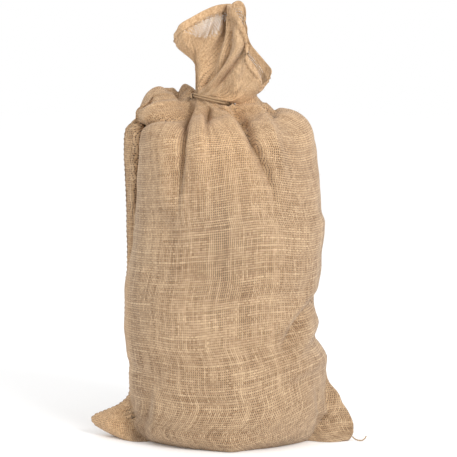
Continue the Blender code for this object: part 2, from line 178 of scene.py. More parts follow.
# Folds of the shoulders, seen from above.
TOP_FOLDS = (
    # half width, sharpness, lean, then x, y and rise at each point along it
    (7, 0.0, 0.0, (-62, 20, 12), (-66, 22, 14), (-69, 24, 11)),  # knuckle at the left
    (9, 0.2, 0.0, (8, -14, 14), (22, -6, 20), (50, 8, 20), (72, 20, 13), (84, 26, 0)),
    (5, 0.2, 0.0, (78, -56, -3), (81, -20, -9), (83, 20, -10), (88, 60, -5)),  # dip beyond it
    (9, 0.3, 0.0, (14, 34, 0), (30, 62, 8), (44, 100, 6), (52, 118, 0)),  # pleats at the back
    (8, 0.4, 0.3, (2, 36, -6), (8, 70, -11), (14, 108, -7), (16, 124, 0)),
    (9, 0.2, 0.0, (-16, 38, 0), (-18, 72, 8), (-20, 112, 5)),
    (8, 0.4, -0.3, (-34, 38, -6), (-46, 70, -11), (-60, 100, -7), (-70, 116, 0)),
    (10, 0.1, 0.0, (-50, 34, 0), (-78, 58, 4), (-104, 80, 4)),
    (7, 0.3, 0.0, (-77, -8, -6), (-81, 30, -23), (-87, 76, -19)),  # dip beside the knuckle
    (11, 0.0, 0.0, (-98, -6, 0), (-97, 30, -8), (-98, 76, -6)),
    (9, 0.3, 0.0, (-62, 30, -4), (-98, 44, -8), (-128, 52, -5)),
    (9, 0.2, 0.0, (44, 36, -6), (76, 54, -9), (104, 66, -4)),
    (10, 0.1, 0.0, (66, -6, 0), (96, -4, -5), (124, -2, -3)),
)

# Folds of the ruffle, seen from the front.
RUFFLE_FOLDS = (
    # half width, sharpness, lean, then x, z and rise at each point along it
    (6, 0.6, -0.4, (-2, 756, -3), (0, 735, -9), (3, 700, -15), (-4, 670, -17), (-22, 644, -16),
     (-40, 625, -11), (-50, 610, -4)),  # down to the tie
    (7, 0.0, 0.0, (16, 722, 3), (19, 690, 7), (6, 664, 10), (-14, 638, 9), (-33, 617, 6)),
    (5, 0.6, 0.3, (37, 700, -3), (29, 678, -11), (14, 659, -14), (-2, 639, -14), (-17, 622, -11),
     (-23, 606, -4)),  # right of that fold
    (10, 0.0, 0.0, (28, 660, 3), (18, 638, 7), (16, 616, 7), (12, 606, 3)),
    (4, 0.5, 0.0, (-38, 636, 0), (-36, 622, -4), (-34, 604, -5)),
    (4, 0.5, 0.0, (-2, 636, 0), (-6, 622, -5), (-9, 601, -5)),
    (6, 0.2, 0.0, (-74, 668, 0), (-60, 644, -4), (-50, 620, -5)),
    (8, 0.0, 0.0, (-62, 700, 0), (-44, 668, 4), (-42, 636, 3)),
    (4, 0.4, 0.0, (54, 652, 0), (60, 640, -5), (66, 626, -3)),
)

# The hem of the mouth, once around from the left. Spread is how soon the cloth below it flares
# out over the tie, and hold is how far up it stays drawn in.
MOUTH = (
    # neck degrees, x, y, z, spread, hold
    (0, -88, 3, 709, 0.0, 0.45),  # tip of the left lobe
    (6, -78, -21, 727, 0.1, 0.44),
    (11, -54, -27, 742, 0.4, 0.4),
    (17, -24, -29, 757, 0.9, 0.3),
    (22, -4, -25, 762, 1.4, 0.2),
    (27, 10, -13, 762, 1.8, 0.12),  # its inner end, behind the centre fold
    (33, 3, -35, 759, 2.1, 0.0),
    (42, 14, -48, 752, 2.0, 0.0),  # centre fold, nearest the front
    (50, 25, -53, 735, 1.9, 0.0),
    (58, 34, -52, 714, 1.8, 0.0),
    (66, 38, -47, 694, 1.9, 0.0),
    (76, 33, -38, 679, 2.3, 0.0),
    (92, 43, -30, 663, 2.8, 0.0),  # right-hand pouch
    (108, 54, -24, 648, 3.0, 0.0),
    (124, 61, -17, 633, 3.0, 0.0),
    (140, 62, -10, 624, 2.9, 0.0),
    (156, 67, 0, 626, 2.6, 0.0),  # nick between the pouch and the right tip
    (172, 79, 8, 645, 2.2, 0.0),  # right tip
    (188, 69, 19, 662, 1.8, 0.0),
    (202, 55, 21, 679, 1.5, 0.0),
    (214, 41, 20, 698, 1.3, 0.0),
    (226, 35, 24, 728, 1.1, 0.0),
    (238, 32, 27, 760, 1.0, 0.0),
    (247, 21, 29, 769, 0.9, 0.0),  # top of the back lobe
    (258, 7, 29, 758, 0.8, 0.0),
    (268, -2, 40, 728, 0.7, 0.0),
    (280, -9, 26, 712, 0.6, 0.0),
    (294, -22, 40, 706, 0.5, 0.1),  # pleats of the back hem
    (308, -36, 27, 703, 0.4, 0.2),
    (322, -51, 39, 706, 0.3, 0.32),
    (336, -66, 26, 710, 0.2, 0.4),
    (350, -82, 17, 712, 0.1, 0.45),
)

DEGREES = np.concatenate((np.arange(FRONT_COLUMNS) * 180.0 / FRONT_COLUMNS,
                          180.0 + np.arange(BACK_COLUMNS) * 180.0 / BACK_COLUMNS))


def smooth_read(table, key, column):
    """Reads one column of a table at any key, along a curve that doesn't overshoot its rows."""
    rows = np.array(table, dtype=float)
    keys, values = rows[:, 0], rows[:, column]
    slopes = np.diff(values) / np.diff(keys)
    tangent = np.zeros(len(keys))
    same_way = slopes[:-1] * slopes[1:] > 0
    tangent[1:-1] = np.where(same_way, 0.5 * (slopes[:-1] + slopes[1:]), 0.0)
    limit = 2.5 * np.minimum(abs(slopes[:-1]), abs(slopes[1:]))
    tangent[1:-1] = np.clip(tangent[1:-1], -limit, limit)
    tangent[0], tangent[-1] = slopes[0], slopes[-1]
    key = np.clip(key, keys[0], keys[-1])
    low = np.clip(np.searchsorted(keys, key, side="right") - 1, 0, len(keys) - 2)
    span = keys[low + 1] - keys[low]
    t = (key - keys[low]) / span
    return (values[low] * (1 + 2 * t) * (1 - t) ** 2 + tangent[low] * span * t * (1 - t) ** 2
            + values[low + 1] * t * t * (3 - 2 * t) + tangent[low + 1] * span * t * t * (t - 1))


def around_read(table, degrees, column):
    """Reads a table whose rows go once around, so that its end meets its start."""
    wrapped = ([(row[0] - 360, *row[1:]) for row in table[-2:]] + list(table)
               + [(row[0] + 360, *row[1:]) for row in table[:2]])
    return smooth_read(wrapped, np.mod(degrees, 360.0), column)


def length_along(line):
    """The length of a line of points up to each of them."""
    return np.concatenate(([0.0], np.cumsum(np.linalg.norm(np.diff(line, axis=0), axis=1))))


def curve_between(p0, p1, p2, p3, t):
    """The point at share t of the smooth curve from p1 to p2, with p0 before it and p3 after."""
    return (2 * p1 + (p2 - p0) * t + (2 * p0 - 5 * p1 + 4 * p2 - p3) * t ** 2
            + (3 * p1 - p0 - 3 * p2 + p3) * t ** 3) / 2


def even_points(points, count):
    """Reads a polyline at equal steps of its length, ends included."""
    length = length_along(points)
    wanted = np.linspace(0.0, length[-1], count)
    return np.stack([np.interp(wanted, length, points[:, axis]) for axis in range(points.shape[1])],
                    axis=1)


OUTLINE_POINTS = 641  # points on half an outline before it is read at even steps


def half_outline(z, side):
    """The front or back half of a level cut, from its left tip to its right tip."""
    left, right = smooth_read(SECTIONS, z, 1), smooth_read(SECTIONS, z, 2)
    depth, square = smooth_read(SECTIONS, z, side), smooth_read(SECTIONS, z, SQUARE)
    left_reach, right_reach = smooth_read(FLAPS, z, 1), smooth_read(FLAPS, z, 3)
    turn = np.linspace(0.0, math.pi, OUTLINE_POINTS)
    left_tip, right_tip = left - left_reach, right + right_reach
    x = 0.5 * (left_tip + right_tip) - 0.5 * (right_tip - left_tip) * np.cos(turn)
    across = np.clip(abs(2 * x - left - right) / (right - left), 0.0, 1.0)
    filled = depth * (1 - across ** square) ** (1 / square)
    from_tip = np.minimum(x - left_tip, right_tip - x)
    flap = FLAP_TIP * np.sqrt(np.clip(from_tip / FLAP_TIP, 0.0, 1.0))
    flap += smooth_read(FLAPS, z, 5) * from_tip * np.exp(-(from_tip / FLAP_ROOT) ** 2)
    y = np.maximum(filled, flap)
    y[0] = y[-1] = 0.0
    y *= -1.0 if side == FRONT else 1.0
    y += smooth_read(FLAPS, z, 2) * np.clip((left - x) / (left_reach + 1.0), 0.0, 1.0) ** 2
    y += smooth_read(FLAPS, z, 4) * np.clip((x - right) / (right_reach + 1.0), 0.0, 1.0) ** 2
    count = FRONT_COLUMNS if side == FRONT else BACK_COLUMNS
    return even_points(np.stack((x, y), axis=1), count + 1)


def level_outline(z):
    """A level cut once around, from the left tip by the front, the right tip and the back."""
    front = half_outline(z, FRONT)
    back = half_outline(z, BACK)
    return np.concatenate((front[:-1], back[:0:-1]))


def around_neck(turn, out, rise):
    """Points around the leaning neck, out from its plain oval and up its axis by rise."""
    across = -(NECK_HALF_WIDTH + out) * np.cos(turn)
    forward = -(NECK_HALF_DEPTH + out) * np.sin(turn)
    return np.stack((NECK_X + across * math.cos(NECK_LEAN) + rise * math.sin(NECK_LEAN),
                     NECK_Y + forward,
                     NECK_Z - across * math.sin(NECK_LEAN) + rise * math.cos(NECK_LEAN)), axis=1)


def neck_ring(degrees, rise):
    """A ring of the gathered neck."""
    turn = np.radians(degrees)
    return around_neck(turn, PLEAT_DEPTH * (np.cos(PLEATS * turn) - 1.0), rise)


def mouth_hem():
    """The hem loop read at even steps of its length, with each step's angle, spread and hold."""
    rows = np.array(MOUTH, dtype=float)
    count = len(rows)
    closed = np.concatenate((rows[-1:], rows, rows[:2]))
    closed[0, 0] -= 360.0
    closed[-2:, 0] += 360.0
    loop = [curve_between(*closed[i - 1:i + 3], t) for i in range(1, count + 1)
            for t in np.linspace(0.0, 1.0, 12, endpoint=False)]
    loop = np.array(loop + [closed[count + 1]])
    length = length_along(loop[:, 1:4])
    wanted = length[-1] * DEGREES / 360.0
    return np.stack([np.interp(wanted, length, loop[:, axis]) for axis in range(6)], axis=1)


def bezier(p0, p1, p2, p3, t):
    """The point at share t of a curve that leaves p0 towards p1 and reaches p3 from p2."""
    return (p0 * (1 - t) ** 3 + 3 * p1 * t * (1 - t) ** 2 + 3 * p2 * t * t * (1 - t) + p3 * t ** 3)


BASE_SHARES = (0.0, 0.35, 0.7)  # rows under the sack, out from its bottom seam
BASE_ROWS = len(BASE_SHARES)


def base_rings(footprint):
    """Rings under the sack, from the closed bottom seam out to the edge it stands on."""
    nose, heel = footprint[:FRONT_COLUMNS + 1], footprint[-np.arange(BACK_COLUMNS + 1)]
    x = footprint[:, 0]
    seam_y = 0.5 * (np.interp(x, nose[:, 0], nose[:, 1]) + np.interp(x, heel[:, 0], heel[:, 1]))
    seam = np.stack((x, seam_y, footprint[:, 2]), axis=1)
    return [seam + (footprint - seam) * share for share in BASE_SHARES]


LEVEL_FOOT = 100.0  # below this the rows of the wall are level
LEVEL_TOP = 540.0  # the top row, before it is tilted to the top of the wall


def body_rings():
    """Rings from the foot of the filled body to the top of its wall."""
    heights = np.arange(0.0, 590.0, 3.0)
    outlines = np.array([level_outline(z) for z in heights])
    wall = around_read(SHOULDERS, DEGREES, 1)
    levels = np.concatenate((np.array((0.0, 1.5, 4.0)), np.linspace(8.0, 98.0, 14),
                             np.linspace(106.0, 330.0, 29),
                             np.linspace(336.0, LEVEL_TOP, 40)))
    rings = []
    for level in levels:
        share = np.clip((level - LEVEL_FOOT) / (LEVEL_TOP - LEVEL_FOOT), 0.0, 1.0)
        z = level + share * (wall - LEVEL_TOP)
        x = [np.interp(z[j], heights, outlines[:, j, 0]) for j in range(COLUMNS)]
        y = [np.interp(z[j], heights, outlines[:, j, 1]) for j in range(COLUMNS)]
        rings.append(np.stack((x, y, z), axis=1))
    return rings


def shoulder_rings(wall_ring, neck_degrees):
    """Rings over the shoulders, from the top of the wall in to the foot of the neck."""
    crown_z = around_read(SHOULDERS, DEGREES, 2)
    share = around_read(SHOULDERS, DEGREES, 3)[:, None]
    neck = neck_ring(neck_degrees, -GROOVE_HALF)
    crown = wall_ring + (neck - wall_ring) * share
    crown[:, 2] = crown_z
    up = np.array((0.0, 0.0, 1.0))
    inward = (neck - wall_ring) * np.array((1.0, 1.0, 0.0))
    climb = (crown_z - wall_ring[:, 2])[:, None]
    rings = []
    for t in np.linspace(0.0, 1.0, 17)[1:]:
        start = wall_ring + up * climb * 0.55
        end = crown - inward * share * 0.5
        rings.append(bezier(wall_ring, start, end, crown, t))
    for t in np.linspace(0.0, 1.0, 18)[1:-1]:
        start = crown + inward * (1 - share) * 0.45
        end = neck - inward * 0.06 - up * 7.0
        rings.append(bezier(crown, start, end, neck, t))
    return rings


def ring_normals(rings):
    """Outward directions of a stack of rings, from the steps along and up it."""
    grid = np.array(rings)
    along = np.roll(grid, -1, axis=1) - np.roll(grid, 1, axis=1)
    upward = np.gradient(grid, axis=0)
    normal = np.cross(along, upward)
    return normal / np.maximum(np.linalg.norm(normal, axis=2, keepdims=True), 1e-9)


def smooth_path(points, count):
    """A smooth curve through a few points, read at equal steps of its length."""
    points = np.array(points, dtype=float)
    ends = np.concatenate((2 * points[:1] - points[1:2], points, 2 * points[-1:] - points[-2:-1]))
    fine = [curve_between(*near, t) for near in zip(ends, ends[1:], ends[2:], ends[3:])
            for t in np.linspace(0.0, 1.0, 16, endpoint=False)]
    return even_points(np.array(fine + [points[-1]]), count)


def fold_push(table, first, second):
    """How far the folds of a table raise points, given the two coordinates they are drawn in.

    A fold's sharpness, from 0 to 1, is its share of crease over roll. Its lean makes one flank
    steeper than the other."""
    push = np.zeros(first.shape)
    for width, sharp, lean, *points in table:
        path = smooth_path(points, 48)
        ahead = np.gradient(path[:, :2], axis=0)
        ahead /= np.linalg.norm(ahead, axis=1, keepdims=True)
        near = ((first > path[:, 0].min() - 4 * width) & (first < path[:, 0].max() + 4 * width)
                & (second > path[:, 1].min() - 4 * width) & (second < path[:, 1].max() + 4 * width))
        a, b = first[near], second[near]
        gap = np.hypot(a[:, None] - path[:, 0], b[:, None] - path[:, 1])
        nearest = np.argmin(gap, axis=1)
        way = ahead[nearest]
        side = way[:, 0] * (b - path[nearest, 1]) - way[:, 1] * (a - path[nearest, 0])
        gap = np.min(gap, axis=1) / (width * (1.0 - lean * np.sign(side)))
        rise = path[nearest, 2]
        push[near] += rise * ((1 - sharp) * np.exp(-gap ** 2) + sharp * np.exp(-1.7 * gap))
    return push


def waves(a, b, size, seed):
    """A smooth uneven height between about -1 and 1, from a few crossing waves."""
    rng = np.random.default_rng(seed)
    total = np.zeros(np.broadcast(a, b).shape)
    for _ in range(9):
        angle, phase = rng.uniform(0, 2 * math.pi, 2)
        pitch = size * rng.uniform(0.7, 1.6)
        total += np.sin((a * math.cos(angle) + b * math.sin(angle)) * 2 * math.pi / pitch + phase)
    return total / 4.5


FRONT_FROM, FRONT_FADE = 26.0, 22.0  # y behind which the front folds are gone, and their fade
TOP_FROM, TOP_FADE = 552.0, 20.0  # z above which the folds of the shoulders come in
NECK_MARGIN = 5.0  # the body's folds end this far from the neck


def fold_body(rings):
    """Presses the folds and the uneven bulges of the filling into the body's rings."""
    grid = np.array(rings)
    normals = ring_normals(rings)
    x, y, z = grid[..., 0], grid[..., 1], grid[..., 2]
    front = np.clip((FRONT_FROM - y) / FRONT_FADE, 0.0, 1.0)
    high = np.clip((z - TOP_FROM) / TOP_FADE, 0.0, 1.0)
    push = front * fold_push(FRONT_FOLDS, x, z) + high * fold_push(TOP_FOLDS, x, y)
    around = DEGREES * GIRTH / 360.0
    ramp = np.clip(z / 60.0, 0.0, 1.0)
    push += ramp * (2.2 * waves(around, z, 130.0, 3) + 0.8 * waves(around, z * 1.6, 46.0, 4))
    near_neck = np.hypot((x - NECK_X) / (NECK_HALF_WIDTH + NECK_MARGIN),
                         (y - NECK_Y) / (NECK_HALF_DEPTH + NECK_MARGIN))
    gathers = (1.5 * np.cos(PLEATS * np.radians(hem[:, 0])) + 1.6 * waves(DEGREES, 0.0, 21.0, 5))
    push += high * gathers * np.exp(-((near_neck - 1.5) / 0.8) ** 2)
    push *= np.clip((near_neck - 1.0) / 0.13, 0.0, 1.0)
    normals[..., 2] *= np.clip(z / 30.0, 0.0, 1.0)  # nothing is pressed into the floor
    return list(grid + normals * push[..., None])


def eased(t, start, end):
    """A share from 0 to 1 that sets off and arrives at the slopes given."""
    return (start * t * (1 - t) ** 2 - end * t * t * (1 - t) + t * t * (3 - 2 * t))


POUCH_SPREAD, POUCH_RANGE = 1.6, 1.4  # cloth that spreads more than this sags into a pouch
POUCH_SAG = 95.0


def ruffle_rings(hem):
    """Rings of the ruffle, from just over the tie up to the hem."""
    foot = neck_ring(hem[:, 0], GROOVE_HALF)
    across = hem[:, 1:3] - foot[:, :2]
    climb = hem[:, 3] - foot[:, 2]
    spread, hold = hem[:, 4], hem[:, 5]
    rise = np.clip(1.0 - (spread - POUCH_SPREAD) / POUCH_RANGE, 0.0, 1.0)
    rings = []
    for t in np.concatenate((np.linspace(0.0, 0.88, 26), np.linspace(0.9, 1.0, 7))):
        ring = foot.copy()
        outward = np.clip((t - hold) / (1.0 - 1.35 * hold), 0.0, 1.0)
        ring[:, :2] += across * eased(outward, spread, 0.3)[:, None]
        ring[:, 2] += climb * eased(t, rise, 2.0 - rise)
        ring[:, 2] -= POUCH_SAG * (1.0 - rise) * t * math.exp(-(t / 0.2) ** 2)
        rings.append(ring)
    grid = np.array(rings)
    around = DEGREES * GIRTH / 360.0
    amount = np.linspace(0.0, 1.0, len(rings))[:, None]
    bumps = (1.6 * amount * waves(around, grid[..., 2], 38.0, 8)
             + 1.1 * np.sin(amount * math.pi) * waves(around, grid[..., 2] * 0.35, 17.0, 9))
    normals = ring_normals(rings)
    folds = fold_push(RUFFLE_FOLDS, grid[..., 0], grid[..., 2])
    bumps += folds * np.clip(-2.0 * normals[..., 1], 0.0, 1.0) * np.minimum(1.0, 6.0 * amount)
    return list(grid + normals * bumps[..., None])


hem = mouth_hem()
wall = body_rings()
body = fold_body(wall + shoulder_rings(wall[-1], hem[:, 0]))
body = base_rings(body[0]) + body
groove = [neck_ring(hem[:, 0], rise) for rise in (-GROOVE_HALF, -1.6, 1.6)]
ruffle = ruffle_rings(hem)
rings = np.array(body + groove + ruffle)

HEM_DEPTH = 14.0  # the turned-over hem at the mouth
HEM_STEP = 2.2  # how far the doubled cloth stands proud
HEM_GROOVE = 1.0  # how deep the sewing pulls the cloth in below it
FLOOR_GAP = 0.05

step = np.linalg.norm(np.diff(rings, axis=0), axis=2)
up_cloth = np.concatenate((np.zeros((1, COLUMNS)), np.cumsum(step, axis=0)))
from_hem = up_cloth[-1] - up_cloth
for _ in range(14):  # the threads run straighter than the creases they cross
    up_cloth = (up_cloth + np.roll(up_cloth, 4, axis=1) + np.roll(up_cloth, -4, axis=1)) / 3.0
turned = np.clip((HEM_DEPTH - from_hem) / 1.5, 0.0, 1.0)
turned[:len(body)] = 0.0
groove_line = np.exp(-((from_hem - HEM_DEPTH - 2.5) / 2.0) ** 2)
groove_line[:len(body)] = 0.0
rings = rings + ring_normals(rings) * (HEM_STEP * turned - HEM_GROOVE * groove_line)[..., None]
rings[..., 2] = np.maximum(rings[..., 2], FLOOR_GAP)


def plain_mesh(name, points, faces):
    """A mesh from points in millimetres and faces, shaded smooth."""
    mesh = bpy.data.meshes.new(name)
    mesh.from_pydata((np.asarray(points) * MM).tolist(), [], faces.tolist())
    mesh.shade_smooth()
    return mesh


def place(name, mesh, look):
    """Puts a mesh in the scene with its material, riding on the sack."""
    thing = bpy.data.objects.new(name, mesh)
    bpy.context.scene.collection.objects.link(thing)
    thing.data.materials.append(look)
    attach(thing, "root")
    return thing


def point_values(mesh, name, values):
    """Keeps one number for each point of a mesh, for its material to read."""
    layer = mesh.attributes.new(name, "FLOAT", "POINT")
    layer.data.foreach_set("value", np.asarray(values, dtype=np.float32).ravel())


SAG = 78.0  # how far the middle of a bottom weft hangs below its ends
SAG_FADE = 300.0  # height over which the wefts straighten
RUFFLE_GIRTH = 380.0  # least length of warp spacing shown around the ruffle

rows = len(rings)
here = np.arange(rows * COLUMNS).reshape(rows, COLUMNS)
beside = np.roll(here, -1, axis=1)
faces = np.stack((here[:-1], beside[:-1], beside[1:], here[1:]), axis=-1).reshape(-1, 4)

on_base = up_cloth[BASE_ROWS]
sag = SAG * on_base / on_base.max()
up_wall = up_cloth - on_base
length_up = np.where(up_wall < 0, sag * up_cloth / np.maximum(on_base, 1e-6),
                     up_wall + sag * np.exp(-np.maximum(up_wall, 0.0) / SAG_FADE))
length_up = np.concatenate((length_up, length_up[:, :1]), axis=1)

# Up the filled body the warp threads keep their own spacing, measured from the middle of the
# front or back. Over the shoulders they close up into the neck, and above the tie the pleats
# open, so that they spread again.
around_step = np.linalg.norm(np.roll(rings, -1, axis=1) - rings, axis=2)
half_length = np.stack((around_step[:, :FRONT_COLUMNS].sum(axis=1),
                        around_step[:, FRONT_COLUMNS:].sum(axis=1)), axis=1)
wall_top = BASE_ROWS + len(wall) - 1
shown = 2.0 * half_length
shown[:BASE_ROWS] = shown[BASE_ROWS]
shown[wall_top:] = shown[wall_top]
opened_out = np.maximum(half_length.sum(axis=1) * 1.1, RUFFLE_GIRTH)
shown[len(body) + 2:] = opened_out[len(body) + 2:, None]
share = np.append(DEGREES, 360.0) / 360.0
low_share, high_share = share[:-1], share[1:]
at_back = (high_share > 0.5).astype(int)
anchor = np.where(at_back, 0.75, 0.25)
u_left = GIRTH * anchor + (low_share - anchor) * shown[:, at_back]
u_right = GIRTH * anchor + (high_share - anchor) * shown[:, at_back]
corner_u = np.stack((u_left[:-1], u_right[:-1], u_right[1:], u_left[1:]), axis=-1)
joint = len(body) + 1
corner_u[joint, :, 2], corner_u[joint, :, 3] = corner_u[joint, :, 1], corner_u[joint, :, 0]
corner_v = np.stack((length_up[:-1, :-1], length_up[:-1, 1:], length_up[1:, 1:],
                     length_up[1:, :-1]), axis=-1)
corners = np.stack((corner_u, corner_v), axis=-1).reshape(-1, 2)

# The throat: the gathered folds that close the neck, seen by looking down into the ruffle.
THROAT_FOLDS = 19
edge = ruffle[3][::4]
middle = edge.mean(axis=0)
folds = np.sin(np.arange(len(edge)) * 2 * math.pi * THROAT_FOLDS / len(edge))
throat = []
for keep, sink in ((0.9, 1.0), (0.7, 4.0), (0.46, 5.5), (0.24, 6.5), (0.07, 7.0)):
    ring = middle + (edge - middle) * keep
    ring[:, 2] -= sink + 3.0 * keep * folds
    throat.append(ring)
throat = np.array(throat)
inner = rows * COLUMNS + np.arange(throat[..., 0].size).reshape(throat.shape[:2])
next_one = np.roll(inner, -1, axis=1)
plug = np.stack((inner[:-1], next_one[:-1], next_one[1:], inner[1:]), axis=-1).reshape(-1, 4)
plug_corners = throat.reshape(-1, 3)[(plug - rows * COLUMNS).ravel()][:, :2]
faces = np.concatenate((faces, plug))
corners = np.concatenate((corners, plug_corners))
cloth_points = np.concatenate((rings.reshape(-1, 3), throat.reshape(-1, 3)))
no_value = np.zeros(throat[..., 0].size)

sack_mesh = plain_mesh("sack_cloth", cloth_points, faces)
layer = sack_mesh.uv_layers.new(name="cloth")
layer.data.foreach_set("uv", (corners * MM).ravel())

# Light comes through the weave above the tie only, where there is no filling behind it.
x, z = rings[..., 0], rings[..., 2]
front = rings[..., 1] < 0
see_through = np.zeros((rows, COLUMNS))
see_through[len(body) + 2:] = 1.0
see_through *= 1.0 - turned
point_values(sack_mesh, "see_through", np.append(see_through, no_value))
point_values(sack_mesh, "turned_hem", np.append(turned, no_value))

# The weave is stretched slack down the middle of the front and by the right shoulder. In the
# left lobe and by the right pouch its threads have been pulled apart.
slack = np.exp(-((x + 2) / 42.0) ** 2)
slack = slack * np.clip((z - 200) / 120, 0, 1) * np.clip((600 - z) / 60, 0, 1)
slack += 0.8 * np.exp(-((x - 100) / 34.0) ** 2 - ((z - 500) / 70.0) ** 2)
slack = np.where(front, slack, 0.5 + 0.4 * waves(low_share * GIRTH, z, 260.0, 12))
slack = np.clip(slack, 0.0, 1.0)
slant = (0.87 * (x + 29) + 0.49 * (z - 722), 0.87 * (z - 722) - 0.49 * (x + 29))
opened = (np.hypot(slant[0] / 34.0, slant[1] / 16.0), np.hypot((x - 32) / 8.0, (z - 671) / 10.0))
for far in opened:
    slack += see_through * front * 2.5 * np.clip(2.1 - 1.6 * far, 0.0, 1.0)
point_values(sack_mesh, "slack_weave", np.append(slack, no_value))

# Painted light: the cloth is painted paler and yellower up towards the neck, by the tie, in the
# left lobe, along the left edge and at the left-hand bottom corner, lifting parts that the lamps
# light too little. The same share draws the threads there a little fuller and calms their tone, as
# where the cloth is gathered.
by_tie = front * np.exp(-((x - 6.0) / 58.0) ** 2) * np.clip((612.0 - z) / 12.0, 0.0, 1.0)
left_lobe = np.clip((-10.0 - x) / 30.0, 0.0, 1.0) * np.clip((z - 612.0) / 30.0, 0.0, 1.0)
gathered_and_painted_light = np.clip((z - 400.0) / 180.0, 0.0, 1.0) * (0.27 + 0.36 * by_tie + 0.22 * left_lobe)
gathered_and_painted_light = np.maximum(gathered_and_painted_light, 0.24 * np.clip((-160.0 - x) / 10.0, 0.0, 1.0))
gathered_and_painted_light = np.maximum(gathered_and_painted_light, 0.55 * np.clip((-160.0 - x) / 24.0, 0.0, 1.0)
                     * np.clip((110.0 - z) / 50.0, 0.0, 1.0))
point_values(sack_mesh, "gathered_and_painted_light", np.append(gathered_and_painted_light, 0.3 + no_value))


def linear(code):
    """An sRGB hex colour as linear red, green, blue and alpha."""
    parts = [int(code[i:i + 2], 16) / 255.0 for i in (1, 3, 5)]
    return (*((p / 12.92 if p < 0.04045 else ((p + 0.055) / 1.055) ** 2.4) for p in parts), 1.0)


COLOUR_A, COLOUR_B, COLOUR_OUT = 6, 7, 2  # the sockets of a mix node that take and give colours


def add(tree, kind, inputs, **settings):
    """Adds a node with its settings, values and links, and gives its first output."""
    made = tree.nodes.new(kind)
    for name, value in settings.items():
        setattr(made, name, value)
    for name, value in inputs.items():
        if isinstance(value, bpy.types.NodeSocket):
            tree.links.new(value, made.inputs[name])
        else:
            made.inputs[name].default_value = value
    return made.outputs[0] if made.outputs else None


WARP_PITCH = 3.5  # from one warp thread to the next
WEFT_PITCH = 3.9
# For warp and weft: a seed, half its width and its height in pitches, the width it loses where
# the weave is slack, its crimp, how often its slubs come, and how strongly they show.
THREADS = ((3.1, 0.335, 1.3, -0.05, 0.35, 0.10, 0.75),
           (8.7, 0.31, 0.95, -0.105, 0.5, 0.06, 1.0))
# Noise scales, in repeats to the metre.
DRIFTS = 14.0  # threads wander over about 70 mm
CROSSINGS = 380.0  # grain of about 2.6 mm, near the size of a crossing
HAIRS = 900.0  # jute hairs are 0.05 mm, drawn here at about 1 mm so that they show
PATCHES = 9.0  # lighter and darker patches about 110 mm across


